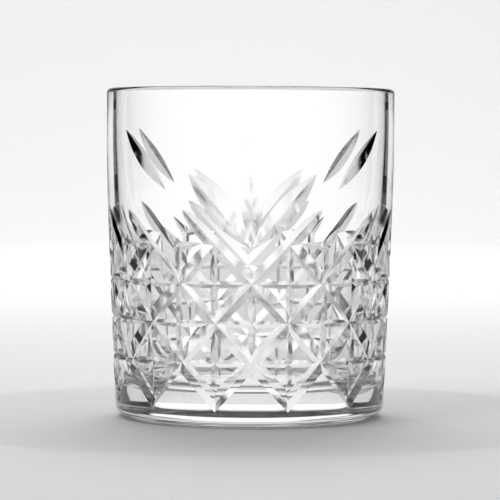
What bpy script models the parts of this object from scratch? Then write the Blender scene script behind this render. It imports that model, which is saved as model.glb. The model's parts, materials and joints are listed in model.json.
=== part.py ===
"""Whiskey tumbler: one thick piece of clear glass, cut with a diamond lattice and fans of leaves."""
import math

import bmesh
import bpy

# Blank, in metres: outside, lip, cavity and foot
HEIGHT = 0.0940
RIM_DIAMETER = 0.0825
FOOT_DIAMETER = 0.0772
RIM_WALL = 0.0026
STRAIGHT_BAND = 0.0170
TAPER_POWER = 1.3
BASE_THICKNESS = 0.0093
CAVITY_FOOT_DIAMETER = 0.0662
CAVITY_FILLET = 0.0065
CAVITY_STRAIGHT_BAND = 0.0100
CAVITY_POWER = 1.6
HEEL_HEIGHT = 0.0036
HEEL_WIDTH = 0.0042
FOOT_RING_WIDTH = 0.0052
PUNT_DEPTH = 0.0008

# Cutting grid: plain bands above and below it, rows up the wall, and diamonds and fans round the wall
RIM_BAND = 0.0108
FOOT_BAND = 0.0071
ROWS = 7
LATTICE_ROWS = 4
DIAMONDS = 12
FANS = 2

# Mitre cuts: greatest depth, and half the angle of the wheel's edge
LATTICE_DEPTH = 0.00115
LATTICE_ANGLE = math.radians(60)
STAR_DEPTH = 0.00075
STAR_END_DEPTH = 0.00030
STAR_ANGLE = math.radians(55)
LEAF_DEPTH = 0.00135
LEAF_ANGLE = math.radians(66)
HIGH_LEAF_DEPTH = 0.00120
HIGH_LEAF_ANGLE = math.radians(60)
SPRAY_DEPTH = 0.00080
SPRAY_ANGLE = math.radians(56)

# Where the cuts start and end on the grid, as (column, row) from the fan's centre line and the foot
CENTRE_LEAF_ROWS = (3.90, 6.76)
SIDE_LEAF = ((0.03, 3.90), (1.71, 5.82))
HIGH_LEAF = ((2.34, 5.37), (3.90, 6.92))
STAR_GAP = 0.04

# Where along its length a cut is deepest, and the angles from level of the stars' cuts
MIDDLE = 0.5
LEVEL = 0.0
UPRIGHT = math.pi / 2

# Ends of the lattice's mitres: rows that they run on for, how late they rise, depth left where two meet
LATTICE_TIP_ROWS = 0.89
LATTICE_TIP_POWER = 4
LATTICE_END_SHARE = 0.80

# Sprays: node and tips, as (column, row) away from the fan, from their own column on top of the lattice
SPRAY_NODE_ROW = -0.05
SPRAY_BAR_TIP = (-0.70, 0.04)
SPRAY_LEAF_TIP = (0.46, 0.46)
SPRAY_BACK = 0.25

# Facets, and how far a cutter stands clear of the glass
TURN_STEPS = 60
LIP_STEPS = 6
FILLET_STEPS = 4
CAVITY_STEPS = 4
HEEL_STEPS = 3
TAPER_STEPS = 5
LEAF_STEPS = 8
STAR_STEPS = 4
LATTICE_COLUMN_STEPS = 2
TIP_STEPS = 3
CUTTER_LIFT = 0.0009
TIP_LIFT = 0.00005
MERGE_DISTANCE = 0.000002
SEAM_TURN = math.radians(1.7)

COLUMN_ANGLE = math.pi / DIAMONDS
ROW_PITCH = (HEIGHT - RIM_BAND - FOOT_BAND) / ROWS
FAN_COLUMNS = 2 * DIAMONDS // FANS


def clear_scene():
    """Remove every object that the scene starts with."""
    for item in list(bpy.data.objects):
        bpy.data.objects.remove(item, do_unlink=True)


def new_collection(name):
    """A collection under the scene's own."""
    collection = bpy.data.collections.new(name)
    bpy.context.scene.collection.children.link(collection)
    return collection


def wall_radius(height):
    """Radius of the uncut wall: upright under the rim, then drawn in towards the foot."""
    shoulder = HEIGHT - STRAIGHT_BAND
    share = (shoulder - height) / (shoulder - HEEL_HEIGHT)
    share = min(max(share, 0.0), 1.0)
    return (RIM_DIAMETER - (RIM_DIAMETER - FOOT_DIAMETER) * share ** TAPER_POWER) / 2


def arc(centre, radii, start, stop, steps):
    """Points on an ellipse in the plane of the profile."""
    points = []
    for step in range(steps + 1):
        angle = start + (stop - start) * step / steps
        points.append((centre[0] + radii[0] * math.cos(angle), centre[1] + radii[1] * math.sin(angle)))
    return points


def cavity_radius(height):
    """Radius of the cavity: upright under the lip, then drawn in towards the floor."""
    shoulder = HEIGHT - CAVITY_STRAIGHT_BAND
    share = max(shoulder - height, 0.0) / (shoulder - BASE_THICKNESS)
    top_radius = RIM_DIAMETER / 2 - RIM_WALL
    return top_radius - (top_radius - CAVITY_FOOT_DIAMETER / 2) * share ** CAVITY_POWER


def cavity_profile():
    """From the middle of the floor, round its fillet, to the top of the cavity's drawn-in wall."""
    corner = CAVITY_FOOT_DIAMETER / 2
    shoulder = HEIGHT - CAVITY_STRAIGHT_BAND
    draw = RIM_DIAMETER / 2 - RIM_WALL - corner
    lean = math.atan2(shoulder - BASE_THICKNESS, CAVITY_POWER * draw)
    tangent = CAVITY_FILLET / math.tan((math.pi - lean) / 2)
    centre = (corner - tangent, BASE_THICKNESS + CAVITY_FILLET)
    quarter = math.pi / 2
    points = [(0.0, BASE_THICKNESS)]
    points += arc(centre, (CAVITY_FILLET, CAVITY_FILLET), -quarter, lean - quarter, FILLET_STEPS)
    foot = points[-1][1]
    for step in range(1, CAVITY_STEPS + 1):
        height = foot + (shoulder - foot) * step / CAVITY_STEPS
        points.append((cavity_radius(height), height))
    return points


def lip_profile():
    """The fully rounded lip, from inside to outside."""
    radius = RIM_WALL / 2
    centre = (RIM_DIAMETER / 2 - radius, HEIGHT - radius)
    return arc(centre, (radius, radius), math.pi, 0.0, LIP_STEPS)


def outer_profile():
    """The outer wall down to the heel, the foot ring and the shallow punt under the base."""
    shoulder = HEIGHT - STRAIGHT_BAND
    points = []
    for step in range(TAPER_STEPS):
        height = shoulder + (HEEL_HEIGHT - shoulder) * step / TAPER_STEPS
        points.append((wall_radius(height), height))
    ring_outside = FOOT_DIAMETER / 2 - HEEL_WIDTH
    ring_inside = ring_outside - FOOT_RING_WIDTH
    points += arc((ring_outside, HEEL_HEIGHT), (HEEL_WIDTH, HEEL_HEIGHT), 0.0, -math.pi / 2, HEEL_STEPS)
    points += [(ring_inside, 0.0), (ring_inside - 2 * PUNT_DEPTH, PUNT_DEPTH), (0.0, PUNT_DEPTH)]
    return points


def make_blank(collection):
    """The uncut tumbler, turned from its profile."""
    profile = cavity_profile() + lip_profile() + outer_profile()
    mesh = bpy.data.meshes.new("tumbler")
    edges = [(index, index + 1) for index in range(len(profile) - 1)]
    mesh.from_pydata([(radius, 0.0, height) for radius, height in profile], edges, [])
    blank = bpy.data.objects.new("tumbler", mesh)
    collection.objects.link(blank)
    turn = blank.modifiers.new("turn", "SCREW")
    turn.axis = "Z"
    turn.angle = 2 * math.pi
    turn.steps = TURN_STEPS
    turn.render_steps = TURN_STEPS
    turn.use_merge_vertices = True
    turn.merge_threshold = MERGE_DISTANCE
    blank.rotation_euler.z = SEAM_TURN
    return blank


def wall_point(radius, angle, height):
    """A point in space; angle 0 faces -Y and grows towards +X."""
    return (radius * math.sin(angle), -radius * math.cos(angle), height)


def grid_height(row):
    """Height of a row of the cutting grid."""
    return FOOT_BAND + row * ROW_PITCH


def cut_section(column, row, depth, flare, lean):
    """A V across a cut in the wall, open towards the outside; lean is the cut's angle from level."""
    angle = column * COLUMN_ANGLE
    height = grid_height(row)
    radius = wall_radius(height)
    reach = (depth + CUTTER_LIFT) * flare
    across = reach * math.sin(lean) / radius
    up = reach * math.cos(lean)
    return [
        wall_point(radius - depth, angle, height),
        wall_point(radius + CUTTER_LIFT, angle - across, height + up),
        wall_point(radius + CUTTER_LIFT, angle + across, height - up),
    ]


def make_cutter(name, sections, collection):
    """A closed wedge lofted through V sections."""
    shape = bmesh.new()
    rings = [[shape.verts.new(point) for point in section] for section in sections]
    for ring, following in zip(rings, rings[1:]):
        for side in range(3):
            after = (side + 1) % 3
            shape.faces.new((ring[side], ring[after], following[after], following[side]))
    shape.faces.new(rings[0])
    shape.faces.new(rings[-1])
    bmesh.ops.recalc_face_normals(shape, faces=shape.faces)
    mesh = bpy.data.meshes.new(name)
    shape.to_mesh(mesh)
    shape.free()
    cutter = bpy.data.objects.new(name, mesh)
    cutter.hide_render = True
    cutter.display_type = "WIRE"
    collection.objects.link(cutter)


def swell(share, peak):
    """Depth of a wheel cut along its length: 0 at both ends, 1 at its peak."""
    if share < peak:
        return 1 - ((peak - share) / peak) ** 2
    return 1 - ((share - peak) / (1 - peak)) ** 2


def leaf_depth(share, peak, depth):
    """Depth of a leaf, which rises just out of the glass at its tips."""
    return (depth + TIP_LIFT) * swell(share, peak) - TIP_LIFT


def cut_lean(columns, rows):
    """Angle from level of a cut that runs so far across the grid and so far up it."""
    return math.atan2(rows * ROW_PITCH, columns * COLUMN_ANGLE * wall_radius(HEIGHT / 2))


def cut_leaf(name, start, stop, peak, depth, half_angle, collection):
    """A leaf from one grid point to another, tapering to a tip at each end."""
    columns = stop[0] - start[0]
    rows = stop[1] - start[1]
    lean = cut_lean(columns, rows)
    flare = math.tan(half_angle)
    sections = []
    for step in range(LEAF_STEPS + 1):
        share = step / LEAF_STEPS
        here = leaf_depth(share, peak, depth)
        sections.append(cut_section(start[0] + columns * share, start[1] + rows * share, here, flare, lean))
    make_cutter(name, sections, collection)


def fan_offset(column):
    """Signed distance in columns from the nearest fan's centre line."""
    half = FAN_COLUMNS / 2
    return (column + half) % FAN_COLUMNS - half


def lattice_arm(tip_column, side):
    """Stations of one arm of a V of the lattice, from its tip upwards: column, row, depth and turn.

    Away from the fan's centre an arm runs on past the lattice and rises out of the glass. Towards the
    centre it stops in the arm that it meets.
    """
    top_column = tip_column + side * LATTICE_ROWS
    runs_on = fan_offset(top_column) * side > 0
    stations = []
    for step in range(1, LATTICE_ROWS * LATTICE_COLUMN_STEPS):
        row = step / LATTICE_COLUMN_STEPS
        stations.append((tip_column + side * row, row, LATTICE_DEPTH, 0.0))
    if not runs_on:
        stations.append((top_column, LATTICE_ROWS, LATTICE_DEPTH * LATTICE_END_SHARE, 0.0))
        return stations
    for step in range(TIP_STEPS + 1):
        share = step / TIP_STEPS
        past = LATTICE_TIP_ROWS * share
        depth = (LATTICE_DEPTH + TIP_LIFT) * (1 - share ** LATTICE_TIP_POWER) - TIP_LIFT
        stations.append((top_column + side * past, LATTICE_ROWS + past, depth, side * share))
    return stations


def mitre_section(column, row, depth, turn):
    """A V across an arm of the lattice: upright where turn is 0, square to the arm where it is 1 or -1."""
    arm = cut_lean(1, 1)
    flare = math.tan(LATTICE_ANGLE) / math.cos(arm * (1 - abs(turn)))
    return cut_section(column, row, depth, flare, arm * turn)


def cut_lattice(collection):
    """Mitres that slant both ways round the wall, joined at their feet in sharp Vs."""
    for diamond in range(DIAMONDS):
        tip_column = 2 * diamond + 1
        left = lattice_arm(tip_column, -1)
        right = lattice_arm(tip_column, 1)
        stations = left[::-1] + [(tip_column, 0.0, LATTICE_DEPTH, 0.0)] + right
        sections = [mitre_section(*station) for station in stations]
        make_cutter(f"mitre_{diamond}", sections, collection)


def star_depth(share):
    """Depth of a star's ray: shallow in the lattice mitres at its ends, deeper in the middle."""
    return STAR_END_DEPTH + (STAR_DEPTH - STAR_END_DEPTH) * swell(share, MIDDLE)


def cut_stars(collection):
    """A level and an upright cut across each diamond of the lattice."""
    flare = math.tan(STAR_ANGLE)
    for row in range(1, LATTICE_ROWS):
        for diamond in range(DIAMONDS):
            column = 2 * diamond + row % 2
            level = []
            upright = []
            for step in range(STAR_STEPS + 1):
                share = step / STAR_STEPS
                offset = (2 * share - 1) * (1 - STAR_GAP)
                depth = star_depth(share)
                level.append(cut_section(column + offset, row, depth, flare, LEVEL))
                upright.append(cut_section(column, row + offset, depth, flare, UPRIGHT))
            make_cutter(f"star_level_{row}_{diamond}", level, collection)
            make_cutter(f"star_upright_{row}_{diamond}", upright, collection)


def cut_spray(column, side, collection):
    """Half a star on top of the lattice: a stem, a bar towards the fan and a leaf away from it.

    Each ray starts a little behind the node, where it is deepest, and rises to its tip.
    """
    peak = SPRAY_BACK / (1 + SPRAY_BACK)
    node = (column, LATTICE_ROWS + SPRAY_NODE_ROW)
    rays = {"stem": (0.0, STAR_GAP - 1)}
    if side != 0:
        rays["bar"] = SPRAY_BAR_TIP
        rays["leaf"] = SPRAY_LEAF_TIP
    for ray, tip in rays.items():
        stop = (column + side * tip[0], LATTICE_ROWS + tip[1])
        start = [here + SPRAY_BACK * (here - there) for here, there in zip(node, stop)]
        cut_leaf(f"spray_{column}_{ray}", start, stop, peak, SPRAY_DEPTH, SPRAY_ANGLE, collection)


def cut_fan(column, collection):
    """A fan: a leaf on the centre line, a wide leaf at each side and a high leaf beyond."""
    name = f"fan_{column}"
    centre = [(column, row) for row in CENTRE_LEAF_ROWS]
    cut_leaf(f"{name}_centre", *centre, MIDDLE, LEAF_DEPTH, LEAF_ANGLE, collection)
    for side in (-1, 1):
        wide = [(column + side * across, row) for across, row in SIDE_LEAF]
        high = [(column + side * across, row) for across, row in HIGH_LEAF]
        cut_leaf(f"{name}_side_{side}", *wide, MIDDLE, LEAF_DEPTH, LEAF_ANGLE, collection)
        cut_leaf(f"{name}_high_{side}", *high, MIDDLE, HIGH_LEAF_DEPTH, HIGH_LEAF_ANGLE, collection)


def cut_crown(collection):
    """What stands on the lattice: fans, and sprays that lean away from them."""
    for column in range(0, 2 * DIAMONDS, 2):
        offset = fan_offset(column)
        if offset == 0:
            cut_fan(column, collection)
        elif abs(offset) == FAN_COLUMNS / 2:
            cut_spray(column, 0, collection)
        else:
            cut_spray(column, int(math.copysign(1, offset)), collection)


def glass_material():
    """Clear, colourless glass."""
    material = bpy.data.materials.new("clear_glass")
    material.use_nodes = True
    shader = material.node_tree.nodes["Principled BSDF"]
    shader.inputs["Base Color"].default_value = (0.97, 0.98, 0.98, 1.0)
    shader.inputs["Roughness"].default_value = 0.02
    shader.inputs["Metallic"].default_value = 0.0
    shader.inputs["IOR"].default_value = 1.52
    shader.inputs["Transmission Weight"].default_value = 1.0
    return material


def main():
    """Turn the blank and cut its pattern."""
    clear_scene()
    parts = new_collection("whiskey_tumbler")
    cutters = new_collection("cutters")
    tumbler = make_blank(parts)
    cut_lattice(cutters)
    cut_stars(cutters)
    cut_crown(cutters)
    pattern = tumbler.modifiers.new("pattern", "BOOLEAN")
    pattern.operation = "DIFFERENCE"
    pattern.operand_type = "COLLECTION"
    pattern.collection = cutters
    pattern.solver = "EXACT"
    weld = tumbler.modifiers.new("weld", "WELD")
    weld.merge_threshold = MERGE_DISTANCE
    tumbler.data.materials.append(glass_material())


main()
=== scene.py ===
import json
import math

import bmesh
import bpy
import numpy as np
from mathutils import Matrix, Vector

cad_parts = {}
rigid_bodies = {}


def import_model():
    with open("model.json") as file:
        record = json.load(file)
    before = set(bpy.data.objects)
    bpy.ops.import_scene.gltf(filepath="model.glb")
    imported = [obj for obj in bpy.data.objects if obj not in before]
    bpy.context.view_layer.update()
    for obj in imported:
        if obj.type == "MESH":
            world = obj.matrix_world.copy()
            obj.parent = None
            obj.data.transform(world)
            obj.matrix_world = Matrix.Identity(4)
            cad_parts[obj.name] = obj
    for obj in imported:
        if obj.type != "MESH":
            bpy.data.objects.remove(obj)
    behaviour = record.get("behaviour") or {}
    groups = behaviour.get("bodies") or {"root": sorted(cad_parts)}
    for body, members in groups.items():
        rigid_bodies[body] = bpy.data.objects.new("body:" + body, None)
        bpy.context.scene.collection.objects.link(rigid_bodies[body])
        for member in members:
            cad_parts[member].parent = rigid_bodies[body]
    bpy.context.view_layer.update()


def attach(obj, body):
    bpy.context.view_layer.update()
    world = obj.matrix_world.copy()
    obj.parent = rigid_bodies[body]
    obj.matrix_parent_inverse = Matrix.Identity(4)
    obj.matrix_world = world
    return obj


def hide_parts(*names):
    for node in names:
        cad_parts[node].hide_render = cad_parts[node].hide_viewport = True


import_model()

# Blank, in metres: outside, lip, cavity and foot, as in the solid
HEIGHT = 0.0940
RIM_DIAMETER = 0.0825
FOOT_DIAMETER = 0.0772
RIM_WALL = 0.0026
STRAIGHT_BAND = 0.0170
TAPER_POWER = 1.3
BASE_THICKNESS = 0.0093
CAVITY_FOOT_DIAMETER = 0.0662
CAVITY_FILLET = 0.0065
CAVITY_STRAIGHT_BAND = 0.0100
CAVITY_POWER = 1.6
HEEL_HEIGHT = 0.0036
HEEL_WIDTH = 0.0042
FOOT_RING_WIDTH = 0.0052
PUNT_DEPTH = 0.0008

# Cutting grid: plain bands above and below it, rows up the wall, and diamonds and fans round the wall
RIM_BAND = 0.0108
FOOT_BAND = 0.0071
ROWS = 7
LATTICE_ROWS = 4
DIAMONDS = 12
FANS = 2

# Mitre cuts: greatest depth, and half the angle of the wheel's edge
LATTICE_DEPTH = 0.00115
LATTICE_ANGLE = math.radians(60)
STAR_DEPTH = 0.00075
STAR_END_DEPTH = 0.00030
STAR_ANGLE = math.radians(55)
LEAF_DEPTH = 0.00135
LEAF_ANGLE = math.radians(66)
HIGH_LEAF_DEPTH = 0.00120
HIGH_LEAF_ANGLE = math.radians(60)
SPRAY_DEPTH = 0.00080
SPRAY_DEPTH_STEP = 0.00001
SPRAY_ANGLE = math.radians(56)

# Where the cuts start and end on the grid, as (column, row) from the fan's centre line and the foot
CENTRE_LEAF_ROWS = (3.90, 6.76)
SIDE_LEAF = ((0.03, 3.90), (1.71, 5.82))
HIGH_LEAF = ((2.34, 5.37), (3.90, 6.92))
STAR_GAP = 0.04

# Where along its length a cut is deepest, and the angles from level of the stars' cuts
MIDDLE = 0.5
LEVEL = 0.0
UPRIGHT = math.pi / 2

# Ends of the lattice's mitres: rows that they run on for, how late they rise, depth left where two meet
LATTICE_TIP_ROWS = 0.89
LATTICE_TIP_POWER = 4
LATTICE_END_SHARE = 0.80

# Sprays: node and tips, as (column, row) away from the fan, from their own column on top of the lattice
SPRAY_NODE_ROW = -0.05
SPRAY_BAR_TIP = (-0.70, 0.04)
SPRAY_LEAF_TIP = (0.46, 0.46)
SPRAY_BACK = 0.25

# Facets, and how far a cutter stands clear of the glass
TURN_STEPS = 288
LIP_STEPS = 24
FILLET_STEPS = 16
CAVITY_STEPS = 14
HEEL_STEPS = 12
TAPER_STEPS = 14
LEAF_STEPS = 24
STAR_STEPS = 10
LATTICE_COLUMN_STEPS = 5
TIP_STEPS = 10
CUTTER_LIFT = 0.0009
TIP_LIFT = 0.00005
MERGE_DISTANCE = 0.000002
SEAM_TURN = math.radians(0.37)
SHARP_ANGLE = math.radians(12)

COLUMN_ANGLE = math.pi / DIAMONDS
ROW_PITCH = (HEIGHT - RIM_BAND - FOOT_BAND) / ROWS
FAN_COLUMNS = 2 * DIAMONDS // FANS

# Camera: the photograph's distance, height, turn and tilt
CAMERA_DISTANCE = 0.750
CAMERA_HEIGHT = 0.0778
CAMERA_AZIMUTH = math.radians(-0.85)
CAMERA_ROLL = math.radians(0.25)
CAMERA_TARGET_HEIGHT = 0.0477
FOCAL_PIXELS = 2606.0
IMAGE_PIXELS = 500.0
SENSOR_WIDTH = 36.0
NEAREST = 0.01
FARTHEST = 50.0

# Studio, in metres: a round sweep of pale paper, painted greyer round the glass as painted shade, with a
# painted glow under the glass's foot for the light that the glass gathers there
SWEEP_RADIUS = 1.9
SWEEP_BEND = 0.6
SWEEP_HEIGHT = 1.3
SWEEP_DROP = 0.0002
BEND_STEPS = 16
LATHE_STEPS = 96
PAPER_ROUGHNESS = 0.7
# Painted shade: the floor's grey round the glass, fading to the sweep's white far off
FLOOR_SHADE_GREY = (0.80, 0.80, 0.80)
SWEEP_WHITE = (0.92, 0.92, 0.92)
FLOOR_FADE = (0.25, 1.0)
# Painted glow: emission on the paper under the glass's foot, standing in for the light that the glass
# gathers
PAINTED_GLOW_RADII = (0.026, 0.036)
PAINTED_GLOW_STRENGTH = 0.8
WORLD_STRENGTH = 0.40
BACK_LAMP_PLACE = (0.0, 0.80, 1.0)
BACK_LAMP_AIM = (0.0, 0.85, 0.0)
BACK_LAMP_SIZE = (0.8, 1.0)
BACK_LAMP_POWER = 9.0
KEY_LAMP_PLACE = (-0.7, -0.5, 1.1)
KEY_LAMP_AIM = (0.0, 0.0, 0.05)
KEY_LAMP_SIZE = (0.6, 0.6)
KEY_LAMP_POWER = 3.0

# Glass: cut faces a little soft, with the mould's fine ripples, and long waves all over
GLASS_IOR = 1.52
CUT_LAYER = "cut"
CUT_ROUGHNESS = (0.10, 0.16)
RIPPLE_WAVE = 0.0011
RIPPLE_DEPTH = 0.000012
RIPPLE_NOISE = (0.3, 0.7)
WALL_WAVE = 0.014
WALL_DEPTH = 0.000004

# Cards that only the glass sees: a tent, bright behind with dark corners and dim sides, and a mat of
# painted floor shade
TENT_RADIUS = 0.60
TENT_HEIGHT = 0.80
BACK_PANEL_ANGLES = (math.radians(33), math.radians(17))
BACK_PANEL_NARROWS = (0.12, 0.50)
BACK_PANEL_FADES = (0.08, 0.49)
BACK_PANEL_LEVEL = 1.15
BACK_PANEL_DIMMING = 0.75
SIDE_PANEL_ANGLES = (math.radians(64), math.radians(150))
SIDE_PANEL_FADES = (0.14, 0.30)
SIDE_PANEL_LEVEL = 0.45
MAT_RADII = (0.10, 0.595)
MAT_HEIGHT = 0.0001
# Painted shade on the mat: grey away from the glass, and dark at the far corners behind it
MAT_FADES = (0.14, 0.22)
MAT_SHADE_GREYS = (0.88, 0.70)
MAT_CORNER_ANGLES = (math.radians(27), math.radians(66))
MAT_CORNER_FADES = (0.42, 0.47)
MAT_CORNER_SHADE_DEPTH = 0.96
CARD_SOFTNESS = math.radians(2)

# Times that light may cross the glass, and be reflected
CROSSINGS = 32
REFLECTIONS = 16


def wall_radius(height):
    """Radius of the uncut wall: upright under the rim, then drawn in towards the foot."""
    shoulder = HEIGHT - STRAIGHT_BAND
    share = (shoulder - height) / (shoulder - HEEL_HEIGHT)
    share = min(max(share, 0.0), 1.0)
    return (RIM_DIAMETER - (RIM_DIAMETER - FOOT_DIAMETER) * share ** TAPER_POWER) / 2


def arc(centre, radii, start, stop, steps):
    """Points on an ellipse in the plane of the profile."""
    points = []
    for step in range(steps + 1):
        angle = start + (stop - start) * step / steps
        points.append((centre[0] + radii[0] * math.cos(angle), centre[1] + radii[1] * math.sin(angle)))
    return points


def cavity_radius(height):
    """Radius of the cavity: upright under the lip, then drawn in towards the floor."""
    shoulder = HEIGHT - CAVITY_STRAIGHT_BAND
    share = max(shoulder - height, 0.0) / (shoulder - BASE_THICKNESS)
    top_radius = RIM_DIAMETER / 2 - RIM_WALL
    return top_radius - (top_radius - CAVITY_FOOT_DIAMETER / 2) * share ** CAVITY_POWER


def cavity_profile():
    """From the middle of the floor, round its fillet, to the top of the cavity's drawn-in wall."""
    corner = CAVITY_FOOT_DIAMETER / 2
    shoulder = HEIGHT - CAVITY_STRAIGHT_BAND
    draw = RIM_DIAMETER / 2 - RIM_WALL - corner
    lean = math.atan2(shoulder - BASE_THICKNESS, CAVITY_POWER * draw)
    tangent = CAVITY_FILLET / math.tan((math.pi - lean) / 2)
    centre = (corner - tangent, BASE_THICKNESS + CAVITY_FILLET)
    quarter = math.pi / 2
    points = [(0.0, BASE_THICKNESS)]
    points += arc(centre, (CAVITY_FILLET, CAVITY_FILLET), -quarter, lean - quarter, FILLET_STEPS)
    foot = points[-1][1]
    for step in range(1, CAVITY_STEPS + 1):
        height = foot + (shoulder - foot) * step / CAVITY_STEPS
        points.append((cavity_radius(height), height))
    return points


def lip_profile():
    """The fully rounded lip, from inside to outside."""
    radius = RIM_WALL / 2
    centre = (RIM_DIAMETER / 2 - radius, HEIGHT - radius)
    return arc(centre, (radius, radius), math.pi, 0.0, LIP_STEPS)


def outer_profile():
    """The outer wall down to the heel, the foot ring and the shallow punt under the base."""
    shoulder = HEIGHT - STRAIGHT_BAND
    points = []
    for step in range(TAPER_STEPS):
        height = shoulder + (HEEL_HEIGHT - shoulder) * step / TAPER_STEPS
        points.append((wall_radius(height), height))
    ring_outside = FOOT_DIAMETER / 2 - HEEL_WIDTH
    ring_inside = ring_outside - FOOT_RING_WIDTH
    points += arc((ring_outside, HEEL_HEIGHT), (HEEL_WIDTH, HEEL_HEIGHT), 0.0, -math.pi / 2, HEEL_STEPS)
    points += [(ring_inside, 0.0), (ring_inside - 2 * PUNT_DEPTH, PUNT_DEPTH), (0.0, PUNT_DEPTH)]
    return points


def make_blank(collection):
    """The uncut tumbler, turned from its profile."""
    profile = cavity_profile() + lip_profile() + outer_profile()
    mesh = bpy.data.meshes.new("blank")
    edges = [(index, index + 1) for index in range(len(profile) - 1)]
    mesh.from_pydata([(radius, 0.0, height) for radius, height in profile], edges, [])
    blank = bpy.data.objects.new("blank", mesh)
    collection.objects.link(blank)
    turn = blank.modifiers.new("turn", "SCREW")
    turn.axis = "Z"
    turn.angle = 2 * math.pi
    turn.steps = TURN_STEPS
    turn.render_steps = TURN_STEPS
    turn.use_merge_vertices = True
    turn.merge_threshold = MERGE_DISTANCE
    blank.rotation_euler.z = SEAM_TURN
    return blank


def wall_point(radius, angle, height):
    """A point in space; angle 0 faces -Y and grows towards +X."""
    return (radius * math.sin(angle), -radius * math.cos(angle), height)


def grid_height(row):
    """Height of a row of the cutting grid."""
    return FOOT_BAND + row * ROW_PITCH


def cut_section(column, row, depth, flare, lean):
    """A V across a cut in the wall, open towards the outside; lean is the cut's angle from level."""
    angle = column * COLUMN_ANGLE
    height = grid_height(row)
    radius = wall_radius(height)
    reach = (depth + CUTTER_LIFT) * flare
    across = reach * math.sin(lean) / radius
    up = reach * math.cos(lean)
    return [
        wall_point(radius - depth, angle, height),
        wall_point(radius + CUTTER_LIFT, angle - across, height + up),
        wall_point(radius + CUTTER_LIFT, angle + across, height - up),
    ]


def make_cutter(name, sections, collection):
    """A closed wedge lofted through V sections."""
    shape = bmesh.new()
    rings = [[shape.verts.new(point) for point in section] for section in sections]
    for ring, following in zip(rings, rings[1:]):
        for side in range(3):
            after = (side + 1) % 3
            shape.faces.new((ring[side], ring[after], following[after], following[side]))
    shape.faces.new(rings[0])
    shape.faces.new(rings[-1])
    bmesh.ops.recalc_face_normals(shape, faces=shape.faces)
    mesh = bpy.data.meshes.new(name)
    shape.to_mesh(mesh)
    shape.free()
    collection.objects.link(bpy.data.objects.new(name, mesh))


def swell(share, peak):
    """Depth of a wheel cut along its length: 0 at both ends, 1 at its peak."""
    if share < peak:
        return 1 - ((peak - share) / peak) ** 2
    return 1 - ((share - peak) / (1 - peak)) ** 2


def leaf_depth(share, peak, depth):
    """Depth of a leaf, which rises just out of the glass at its tips."""
    return (depth + TIP_LIFT) * swell(share, peak) - TIP_LIFT


def cut_lean(columns, rows):
    """Angle from level of a cut that runs so far across the grid and so far up it."""
    return math.atan2(rows * ROW_PITCH, columns * COLUMN_ANGLE * wall_radius(HEIGHT / 2))


def cut_leaf(name, start, stop, peak, depth, half_angle, collection):
    """A leaf from one grid point to another, tapering to a tip at each end."""
    columns = stop[0] - start[0]
    rows = stop[1] - start[1]
    lean = cut_lean(columns, rows)
    flare = math.tan(half_angle)
    sections = []
    for step in range(LEAF_STEPS + 1):
        share = step / LEAF_STEPS
        column = start[0] + columns * share
        row = start[1] + rows * share
        sections.append(cut_section(column, row, leaf_depth(share, peak, depth), flare, lean))
    make_cutter(name, sections, collection)


def fan_offset(column):
    """Signed distance in columns from the nearest fan's centre line."""
    half = FAN_COLUMNS / 2
    return (column + half) % FAN_COLUMNS - half


def lattice_arm(tip_column, side):
    """Stations of one arm of a V of the lattice, from its tip upwards: column, row, depth and turn.

    Away from the fan's centre an arm runs on past the lattice and rises out of the glass. Towards the
    centre it stops in the arm that it meets.
    """
    top_column = tip_column + side * LATTICE_ROWS
    runs_on = fan_offset(top_column) * side > 0
    stations = []
    for step in range(1, LATTICE_ROWS * LATTICE_COLUMN_STEPS):
        row = step / LATTICE_COLUMN_STEPS
        stations.append((tip_column + side * row, row, LATTICE_DEPTH, 0.0))
    if not runs_on:
        stations.append((top_column, LATTICE_ROWS, LATTICE_DEPTH * LATTICE_END_SHARE, 0.0))
        return stations
    for step in range(TIP_STEPS + 1):
        share = step / TIP_STEPS
        past = LATTICE_TIP_ROWS * share
        depth = (LATTICE_DEPTH + TIP_LIFT) * (1 - share ** LATTICE_TIP_POWER) - TIP_LIFT
        stations.append((top_column + side * past, LATTICE_ROWS + past, depth, side * share))
    return stations


def mitre_section(column, row, depth, turn):
    """A V across an arm of the lattice: upright where turn is 0, square to the arm at 1 or -1."""
    arm = cut_lean(1, 1)
    flare = math.tan(LATTICE_ANGLE) / math.cos(arm * (1 - abs(turn)))
    return cut_section(column, row, depth, flare, arm * turn)


def cut_lattice(collection):
    """Mitres that slant both ways round the wall, joined at their feet in sharp Vs."""
    for diamond in range(DIAMONDS):
        tip_column = 2 * diamond + 1
        left = lattice_arm(tip_column, -1)
        right = lattice_arm(tip_column, 1)
        stations = left[::-1] + [(tip_column, 0.0, LATTICE_DEPTH, 0.0)] + right
        sections = [mitre_section(*station) for station in stations]
        make_cutter(f"mitre_{diamond}", sections, collection)


def star_depth(share):
    """Depth of a star's ray: shallow in the lattice mitres at its ends, deeper in the middle."""
    return STAR_END_DEPTH + (STAR_DEPTH - STAR_END_DEPTH) * swell(share, MIDDLE)


def cut_stars(collection):
    """A level and an upright cut across each diamond of the lattice."""
    flare = math.tan(STAR_ANGLE)
    for row in range(1, LATTICE_ROWS):
        for diamond in range(DIAMONDS):
            column = 2 * diamond + row % 2
            level = []
            upright = []
            for step in range(STAR_STEPS + 1):
                share = step / STAR_STEPS
                offset = (2 * share - 1) * (1 - STAR_GAP)
                depth = star_depth(share)
                level.append(cut_section(column + offset, row, depth, flare, LEVEL))
                upright.append(cut_section(column, row + offset, depth, flare, UPRIGHT))
            make_cutter(f"star_level_{row}_{diamond}", level, collection)
            make_cutter(f"star_upright_{row}_{diamond}", upright, collection)


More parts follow.
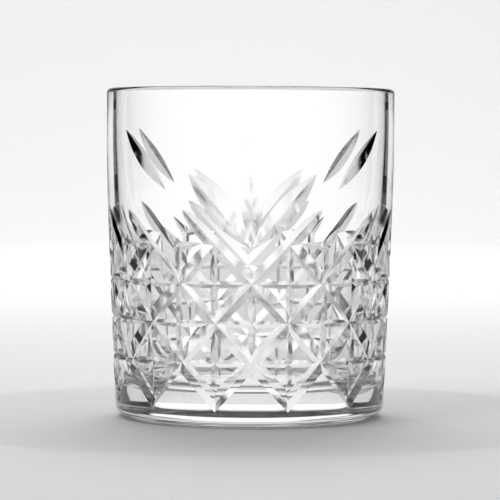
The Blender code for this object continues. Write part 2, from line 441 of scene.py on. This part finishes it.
def cut_spray(column, side, collection):
    """Half a star on top of the lattice: a stem, a bar towards the fan and a leaf away from it.

    Each ray starts a little behind the node, where it is deepest, and rises to its tip. Each is a hair
    shallower than the one before it, so that their beds cross cleanly.
    """
    peak = SPRAY_BACK / (1 + SPRAY_BACK)
    node = (column, LATTICE_ROWS + SPRAY_NODE_ROW)
    rays = {"stem": (0.0, STAR_GAP - 1)}
    if side != 0:
        rays["bar"] = SPRAY_BAR_TIP
        rays["leaf"] = SPRAY_LEAF_TIP
    depth = SPRAY_DEPTH
    for ray, tip in rays.items():
        stop = (column + side * tip[0], LATTICE_ROWS + tip[1])
        start = [here + SPRAY_BACK * (here - there) for here, there in zip(node, stop)]
        cut_leaf(f"spray_{column}_{ray}", start, stop, peak, depth, SPRAY_ANGLE, collection)
        depth -= SPRAY_DEPTH_STEP


def cut_fan(column, collection):
    """A fan: a leaf on the centre line, a wide leaf at each side and a high leaf beyond."""
    name = f"fan_{column}"
    centre = [(column, row) for row in CENTRE_LEAF_ROWS]
    cut_leaf(f"{name}_centre", *centre, MIDDLE, LEAF_DEPTH, LEAF_ANGLE, collection)
    for side in (-1, 1):
        wide = [(column + side * across, row) for across, row in SIDE_LEAF]
        high = [(column + side * across, row) for across, row in HIGH_LEAF]
        cut_leaf(f"{name}_side_{side}", *wide, MIDDLE, LEAF_DEPTH, LEAF_ANGLE, collection)
        cut_leaf(f"{name}_high_{side}", *high, MIDDLE, HIGH_LEAF_DEPTH, HIGH_LEAF_ANGLE, collection)


def cut_crown(collection):
    """What stands on the lattice: fans, and sprays that lean away from them."""
    for column in range(0, 2 * DIAMONDS, 2):
        offset = fan_offset(column)
        if offset == 0:
            cut_fan(column, collection)
        elif abs(offset) == FAN_COLUMNS / 2:
            cut_spray(column, 0, collection)
        else:
            cut_spray(column, int(math.copysign(1, offset)), collection)


def round_wall_normals(mesh, on_wall):
    """Turn the normals of the turned faces to their true direction, so the wall has no facets."""
    corners = len(mesh.loops)
    normals = np.empty(corners * 3)
    mesh.corner_normals.foreach_get("vector", normals)
    normals = normals.reshape(-1, 3)
    vertex = np.empty(corners, dtype=np.int64)
    mesh.loops.foreach_get("vertex_index", vertex)
    places = np.empty(len(mesh.vertices) * 3)
    mesh.vertices.foreach_get("co", places)
    places = places.reshape(-1, 3)[vertex]
    totals = np.empty(len(mesh.polygons), dtype=np.int64)
    mesh.polygons.foreach_get("loop_total", totals)
    turned = np.repeat(on_wall, totals)
    radius = np.hypot(places[:, 0], places[:, 1])
    turned &= radius > MERGE_DISTANCE * 10
    away = places[:, :2] / np.maximum(radius, MERGE_DISTANCE)[:, None]
    sideways = np.hypot(normals[:, 0], normals[:, 1])
    sideways *= np.sign(np.sum(normals[:, :2] * away, axis=1))
    fixed = np.column_stack((away * sideways[:, None], normals[:, 2]))
    normals[turned] = fixed[turned]
    mesh.normals_split_custom_set(normals.tolist())


def make_glass():
    """The tumbler with its fine cut surface, in place of the faceted solid."""
    workshop = bpy.data.collections.new("workshop")
    bpy.context.scene.collection.children.link(workshop)
    cutters = bpy.data.collections.new("cutters")
    workshop.children.link(cutters)
    blank = make_blank(workshop)
    cut_lattice(cutters)
    cut_stars(cutters)
    cut_crown(cutters)
    pattern = blank.modifiers.new("pattern", "BOOLEAN")
    pattern.operation = "DIFFERENCE"
    pattern.operand_type = "COLLECTION"
    pattern.collection = cutters
    pattern.solver = "EXACT"
    weld = blank.modifiers.new("weld", "WELD")
    weld.merge_threshold = MERGE_DISTANCE
    graph = bpy.context.evaluated_depsgraph_get()
    mesh = bpy.data.meshes.new_from_object(blank.evaluated_get(graph))
    mesh.name = "tumbler_glass"
    mesh.transform(blank.matrix_world)
    for item in list(workshop.all_objects):
        bpy.data.objects.remove(item, do_unlink=True)
    bpy.data.collections.remove(cutters)
    bpy.data.collections.remove(workshop)
    on_wall = np.empty(len(mesh.polygons), dtype=bool)
    mesh.polygons.foreach_get("use_smooth", on_wall)
    cut = mesh.attributes.new(CUT_LAYER, "FLOAT", "FACE")
    cut.data.foreach_set("value", (~on_wall).astype(np.float32))
    mesh.shade_smooth()
    mesh.set_sharp_from_angle(angle=SHARP_ANGLE)
    round_wall_normals(mesh, on_wall)
    glass = bpy.data.objects.new("tumbler_glass", mesh)
    bpy.context.scene.collection.objects.link(glass)
    return glass


def math_node(tree, operation, first, second):
    """The result of an operation on two values, each a socket or a number."""
    node = tree.nodes.new("ShaderNodeMath")
    node.operation = operation
    for socket, value in zip(node.inputs, (first, second)):
        if isinstance(value, bpy.types.NodeSocket):
            tree.links.new(value, socket)
        else:
            socket.default_value = value
    return node.outputs[0]


def smooth_node(tree, value, before, after):
    """A value carried smoothly from one range to another."""
    node = tree.nodes.new("ShaderNodeMapRange")
    node.interpolation_type = "SMOOTHSTEP"
    node.inputs["From Min"].default_value, node.inputs["From Max"].default_value = before
    node.inputs["To Min"].default_value, node.inputs["To Max"].default_value = after
    tree.links.new(value, node.inputs["Value"])
    return node.outputs["Result"]


def noise_node(tree, wave):
    """Even noise all over the glass, with waves of one length."""
    place = tree.nodes.new("ShaderNodeTexCoord")
    noise = tree.nodes.new("ShaderNodeTexNoise")
    noise.inputs["Scale"].default_value = 1 / wave
    tree.links.new(place.outputs["Object"], noise.inputs["Vector"])
    return noise.outputs["Fac"]


def glass_material():
    """Colourless glass: a slightly uneven wall, and cut faces that are rippled and a little soft."""
    material = bpy.data.materials.new("clear_glass")
    material.use_nodes = True
    tree = material.node_tree
    shader = tree.nodes["Principled BSDF"]
    shader.inputs["Base Color"].default_value = (1.0, 1.0, 1.0, 1.0)
    shader.inputs["IOR"].default_value = GLASS_IOR
    shader.inputs["Transmission Weight"].default_value = 1.0
    cut = tree.nodes.new("ShaderNodeAttribute")
    cut.attribute_name = CUT_LAYER
    on_cut = cut.outputs["Fac"]
    ripple = noise_node(tree, RIPPLE_WAVE)
    soft = smooth_node(tree, ripple, RIPPLE_NOISE, CUT_ROUGHNESS)
    tree.links.new(math_node(tree, "MULTIPLY", soft, on_cut), shader.inputs["Roughness"])
    ripple = math_node(tree, "MULTIPLY", math_node(tree, "MULTIPLY", ripple, RIPPLE_DEPTH), on_cut)
    uneven = math_node(tree, "MULTIPLY", noise_node(tree, WALL_WAVE), WALL_DEPTH)
    bump = tree.nodes.new("ShaderNodeBump")
    bump.inputs["Distance"].default_value = 1.0
    tree.links.new(math_node(tree, "ADD", ripple, uneven), bump.inputs["Height"])
    tree.links.new(bump.outputs["Normal"], shader.inputs["Normal"])
    return material


def places(tree):
    """Distance from the axis, angle from straight behind the glass and height of a point."""
    place = tree.nodes.new("ShaderNodeNewGeometry")
    parts = tree.nodes.new("ShaderNodeSeparateXYZ")
    tree.links.new(place.outputs["Position"], parts.inputs["Vector"])
    x, y, z = parts.outputs
    across = math_node(tree, "MULTIPLY", x, x)
    along = math_node(tree, "MULTIPLY", y, y)
    radius = math_node(tree, "POWER", math_node(tree, "ADD", across, along), 0.5)
    sideways = math_node(tree, "POWER", across, 0.5)
    return radius, math_node(tree, "ARCTAN2", sideways, y), z


def past_angle(tree, angle, edge):
    """1 past an edge and 0 before it, with a soft change between; the edge is a socket or a number."""
    past = math_node(tree, "SUBTRACT", angle, edge)
    return smooth_node(tree, past, (-CARD_SOFTNESS, CARD_SOFTNESS), (0, 1))


def paper_material(name):
    """Matt paper, and its shader."""
    material = bpy.data.materials.new(name)
    material.use_nodes = True
    paper = material.node_tree.nodes["Principled BSDF"]
    paper.inputs["Roughness"].default_value = PAPER_ROUGHNESS
    return material, paper


def sweep_material():
    """Paper painted grey round the glass as painted shade and white far off, with a painted glow under
    the glass for the light that the glass gathers there.
    """
    material, paper = paper_material("paper_with_painted_shade_and_glow")
    tree = material.node_tree
    radius = places(tree)[0]
    shade_tint = tree.nodes.new("ShaderNodeMix")
    shade_tint.data_type = "RGBA"
    shade_tint.inputs["A"].default_value = (*FLOOR_SHADE_GREY, 1)
    shade_tint.inputs["B"].default_value = (*SWEEP_WHITE, 1)
    # Painted shade: the paper is greyer round the glass
    tree.links.new(smooth_node(tree, radius, FLOOR_FADE, (0, 1)), shade_tint.inputs["Factor"])
    tree.links.new(shade_tint.outputs["Result"], paper.inputs["Base Color"])
    # Painted glow: the paper under the glass's foot glows, for the light that the glass gathers there
    paper.inputs["Emission Color"].default_value = (1, 1, 1, 1)
    painted_glow = smooth_node(tree, radius, PAINTED_GLOW_RADII, (PAINTED_GLOW_STRENGTH, 0))
    tree.links.new(painted_glow, paper.inputs["Emission Strength"])
    return material


def shaded_mat_material():
    """A sheet of painted shade for the glass to see: paler near the glass, greyer away from it and dark
    at the far corners behind it.
    """
    material, paper = paper_material("mat_painted_shade")
    tree = material.node_tree
    radius, angle = places(tree)[:2]
    # Painted shade: the mat goes dark at the far corners behind the glass and greys away from it
    start, stop = [past_angle(tree, angle, edge) for edge in MAT_CORNER_ANGLES]
    depth = smooth_node(tree, radius, MAT_CORNER_FADES, (0, MAT_CORNER_SHADE_DEPTH))
    corner = math_node(tree, "MULTIPLY", math_node(tree, "SUBTRACT", start, stop), depth)
    grey = smooth_node(tree, radius, MAT_FADES, MAT_SHADE_GREYS)
    pale = math_node(tree, "MULTIPLY", grey, math_node(tree, "SUBTRACT", 1.0, corner))
    tree.links.new(pale, paper.inputs["Base Color"])
    return material


def tent_material():
    """A bright panel behind the glass, weak in reflections, and dim sides and front that give none."""
    material = bpy.data.materials.new("tent_panels")
    material.use_nodes = True
    material.cycles.emission_sampling = "NONE"
    tree = material.node_tree
    tree.nodes.remove(tree.nodes["Principled BSDF"])
    light = tree.nodes.new("ShaderNodeEmission")
    path = tree.nodes.new("ShaderNodeLightPath")
    angle, z = places(tree)[1:]
    outside = past_angle(tree, angle, smooth_node(tree, z, BACK_PANEL_NARROWS, BACK_PANEL_ANGLES))
    back = smooth_node(tree, z, BACK_PANEL_FADES, (BACK_PANEL_LEVEL, 0))
    back = math_node(tree, "MULTIPLY", back, math_node(tree, "SUBTRACT", 1.0, outside))
    through = path.outputs["Is Transmission Ray"]
    reflected = math_node(tree, "SUBTRACT", path.outputs["Is Glossy Ray"], through)
    dimming = math_node(tree, "MULTIPLY", reflected, BACK_PANEL_DIMMING)
    back = math_node(tree, "MULTIPLY", back, math_node(tree, "SUBTRACT", 1.0, dimming))
    side = smooth_node(tree, z, SIDE_PANEL_FADES, (SIDE_PANEL_LEVEL, 0))
    side = math_node(tree, "MULTIPLY", side, smooth_node(tree, angle, SIDE_PANEL_ANGLES, (0, 1)))
    side = math_node(tree, "MULTIPLY", side, through)
    tree.links.new(math_node(tree, "ADD", back, side), light.inputs["Strength"])
    tree.links.new(light.outputs["Emission"], tree.nodes["Material Output"].inputs["Surface"])
    return material


def lathe(name, profile, closed, material):
    """A turned surface of the studio, from a list of (radius, height), whose start may be closed."""
    shape = bmesh.new()
    rings = []
    for radius, height in profile:
        ring = []
        for step in range(LATHE_STEPS):
            angle = 2 * math.pi * step / LATHE_STEPS
            ring.append(shape.verts.new((radius * math.cos(angle), radius * math.sin(angle), height)))
        rings.append(ring)
    for ring, following in zip(rings, rings[1:]):
        for step in range(LATHE_STEPS):
            after = (step + 1) % LATHE_STEPS
            shape.faces.new((ring[step], ring[after], following[after], following[step]))
    if closed:
        shape.faces.new(rings[0])
    bmesh.ops.recalc_face_normals(shape, faces=shape.faces)
    mesh = bpy.data.meshes.new(name)
    shape.to_mesh(mesh)
    shape.free()
    mesh.shade_smooth()
    mesh.materials.append(material)
    surface = bpy.data.objects.new(name, mesh)
    bpy.context.scene.collection.objects.link(surface)
    return surface


def only_in_glass(card):
    """A card that shows only in reflections and through glass, and casts no shade."""
    card.visible_camera = False
    card.visible_diffuse = False
    card.visible_shadow = False


def add_lamp(name, place, aim, size, power):
    """A soft box that faces a point."""
    lamp = bpy.data.lights.new(name, "AREA")
    lamp.shape = "RECTANGLE"
    lamp.size = size[0]
    lamp.size_y = size[1]
    lamp.energy = power
    box = bpy.data.objects.new(name, lamp)
    box.location = place
    box.rotation_mode = "QUATERNION"
    box.rotation_quaternion = (Vector(place) - Vector(aim)).to_track_quat("Z", "Y")
    bpy.context.scene.collection.objects.link(box)


def add_studio():
    """Pale sweep, cards for the glass and soft lamps."""
    centre = (SWEEP_RADIUS - SWEEP_BEND, SWEEP_BEND)
    bend = arc(centre, (SWEEP_BEND, SWEEP_BEND), -math.pi / 2, 0.0, BEND_STEPS)
    profile = [(TENT_RADIUS, 0.0)] + bend + [(SWEEP_RADIUS, SWEEP_HEIGHT)]
    sweep = lathe("floor", profile, True, sweep_material())
    sweep.location.z = -SWEEP_DROP
    only_in_glass(lathe("tent", [(TENT_RADIUS, TENT_HEIGHT), (TENT_RADIUS, 0.0)], True, tent_material()))
    only_in_glass(lathe("mat", [(radius, MAT_HEIGHT) for radius in MAT_RADII], False, shaded_mat_material()))
    world = bpy.data.worlds.new("studio")
    bpy.context.scene.world = world
    world.use_nodes = True
    background = world.node_tree.nodes["Background"]
    background.inputs["Color"].default_value = (1.0, 1.0, 1.0, 1.0)
    background.inputs["Strength"].default_value = WORLD_STRENGTH
    add_lamp("back_lamp", BACK_LAMP_PLACE, BACK_LAMP_AIM, BACK_LAMP_SIZE, BACK_LAMP_POWER)
    add_lamp("key_lamp", KEY_LAMP_PLACE, KEY_LAMP_AIM, KEY_LAMP_SIZE, KEY_LAMP_POWER)


def add_camera():
    """The photograph's view."""
    data = bpy.data.cameras.new("camera")
    data.sensor_width = SENSOR_WIDTH
    data.lens = FOCAL_PIXELS / IMAGE_PIXELS * SENSOR_WIDTH
    data.clip_start = NEAREST
    data.clip_end = FARTHEST
    camera = bpy.data.objects.new("camera", data)
    camera.location = wall_point(CAMERA_DISTANCE, CAMERA_AZIMUTH, CAMERA_HEIGHT)
    aim = Vector((0, 0, CAMERA_TARGET_HEIGHT)) - camera.location
    camera.rotation_mode = "QUATERNION"
    roll = Matrix.Rotation(CAMERA_ROLL, 3, "Z").to_quaternion()
    camera.rotation_quaternion = aim.to_track_quat("-Z", "Y") @ roll
    bpy.context.scene.collection.objects.link(camera)
    bpy.context.scene.camera = camera


def set_light_paths():
    """Enough bounces for light to cross the glass several times."""
    cycles = bpy.context.scene.cycles
    cycles.max_bounces = CROSSINGS
    cycles.transmission_bounces = CROSSINGS
    cycles.glossy_bounces = REFLECTIONS


glass = make_glass()
glass.data.materials.clear()
glass.data.materials.append(glass_material())
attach(glass, "root")
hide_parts("tumbler")
add_studio()
add_camera()
set_light_paths()
bpy.context.scene.view_settings.view_transform = "Standard"
